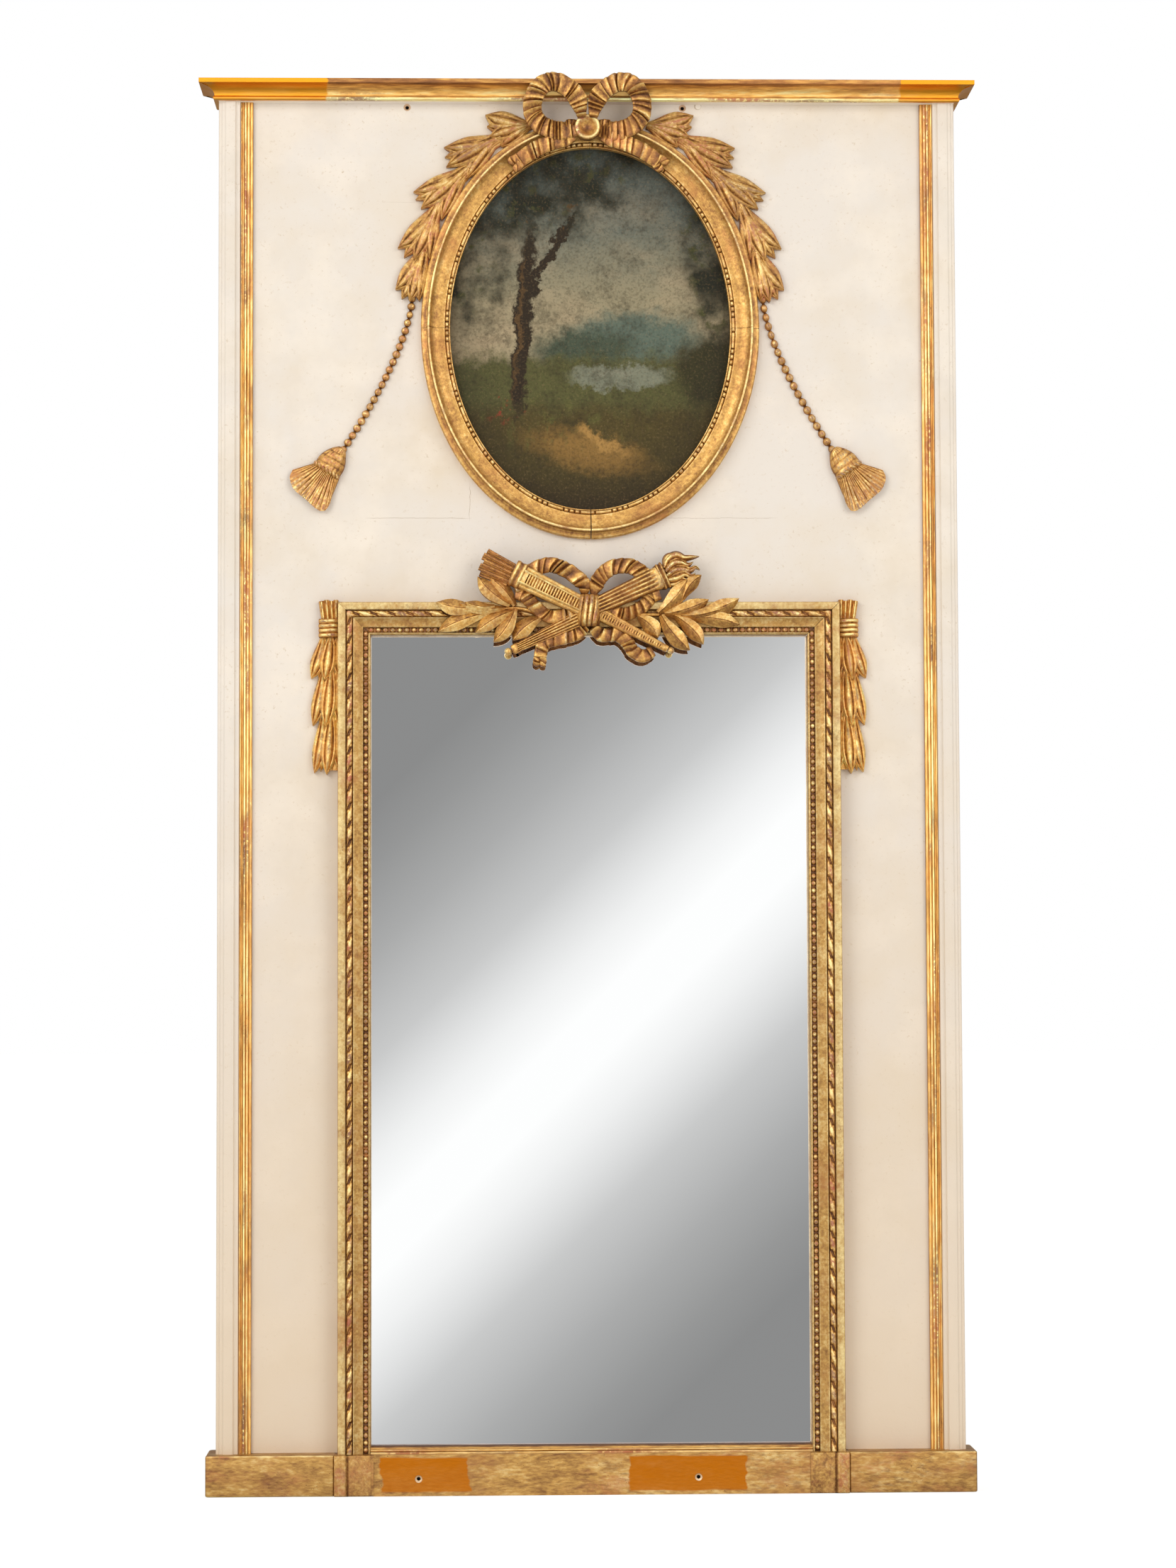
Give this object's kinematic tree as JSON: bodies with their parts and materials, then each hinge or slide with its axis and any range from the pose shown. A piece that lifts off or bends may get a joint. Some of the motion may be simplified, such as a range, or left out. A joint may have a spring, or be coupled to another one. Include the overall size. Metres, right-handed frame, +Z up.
{
  "type": "trumeau mirror",
  "caption": "Tall painted wall panel with a framed mirror plate under an oval painting, gilded mouldings, carved bow, garlands, trophy and tassels.",
  "frame": {"origin": "middle of the foot, on the wall plane", "axes": "+Z up, +X to the viewer's right, the front faces -Y and the wall side faces +Y"},
  "size_m": [1.006, 0.0847, 1.8271],
  "materials": {
    "cream_painted_wood": "old matt oil or casein paint on boards, warm cream, with worn edges and hair cracks",
    "gilded_carved_wood": "water gilding over red bole, rubbed at the high places and toned brown in the hollows",
    "gilded_plain_wood": "gilded plinth with amber varnish and worn edges",
    "old_softwood": "bare oxidised pine boards",
    "mirror_plate": "silvered mirror plate",
    "painted_canvas": null
  },
  "bodies": {
    "root": {"back_batten_lower": "old_softwood", "back_batten_upper": "old_softwood", "bow_button": "gilded_carved_wood", "bow_loop_left": "gilded_carved_wood", "bow_loop_right": "gilded_carved_wood", "bow_tails": "gilded_carved_wood", "carcase_bottom_rail": "old_softwood", "carcase_side_left": "old_softwood", "carcase_side_right": "old_softwood", "carcase_top_rail": "old_softwood", "cornice_backing": "old_softwood", "cornice_front": "gilded_carved_wood", "cornice_return_left": "gilded_carved_wood", "cornice_return_right": "gilded_carved_wood", "edge_moulding_left": "cream_painted_wood", "edge_moulding_right": "cream_painted_wood", "field_cross_rail": "cream_painted_wood", "field_stile_left": "cream_painted_wood", "field_stile_right": "cream_painted_wood", "field_upper_panel": "cream_painted_wood", "gilt_fillet_left": "gilded_carved_wood", "gilt_fillet_right": "gilded_carved_wood", "husk_pendant_left": "gilded_carved_wood", "husk_pendant_right": "gilded_carved_wood", "laurel_left": "gilded_carved_wood", "laurel_right": "gilded_carved_wood", "leaf_garland_left": "gilded_carved_wood", "leaf_garland_right": "gilded_carved_wood", "mirror_backboard": "old_softwood", "mirror_cleats": "old_softwood", "mirror_frame_left": "gilded_carved_wood", "mirror_frame_right": "gilded_carved_wood", "mirror_frame_top": "gilded_carved_wood", "mirror_glass": "mirror_plate", "oval_canvas": "painted_canvas", "oval_frame_lower_left": "gilded_carved_wood", "oval_frame_lower_right": "gilded_carved_wood", "oval_frame_upper_left": "gilded_carved_wood", "oval_frame_upper_right": "gilded_carved_wood", "oval_strainer": "old_softwood", "pearl_row_left": "gilded_carved_wood", "pearl_row_right": "gilded_carved_wood", "pearl_row_top": "gilded_carved_wood", "plinth_block_left": "gilded_plain_wood", "plinth_block_right": "gilded_plain_wood", "plinth_centre": "gilded_plain_wood", "plinth_left": "gilded_plain_wood", "plinth_right": "gilded_plain_wood", "ribbon_twist_left": "gilded_carved_wood", "ribbon_twist_right": "gilded_carved_wood", "ribbon_twist_top": "gilded_carved_wood", "sight_moulding": "gilded_carved_wood", "tassel_drop_left": "gilded_carved_wood", "tassel_drop_right": "gilded_carved_wood", "trophy_arrows": "gilded_carved_wood", "trophy_flame": "gilded_carved_wood", "trophy_knot": "gilded_carved_wood", "trophy_quiver": "gilded_carved_wood", "trophy_ribbons": "gilded_carved_wood", "trophy_torch": "gilded_carved_wood"}
  },
  "joints": []
}
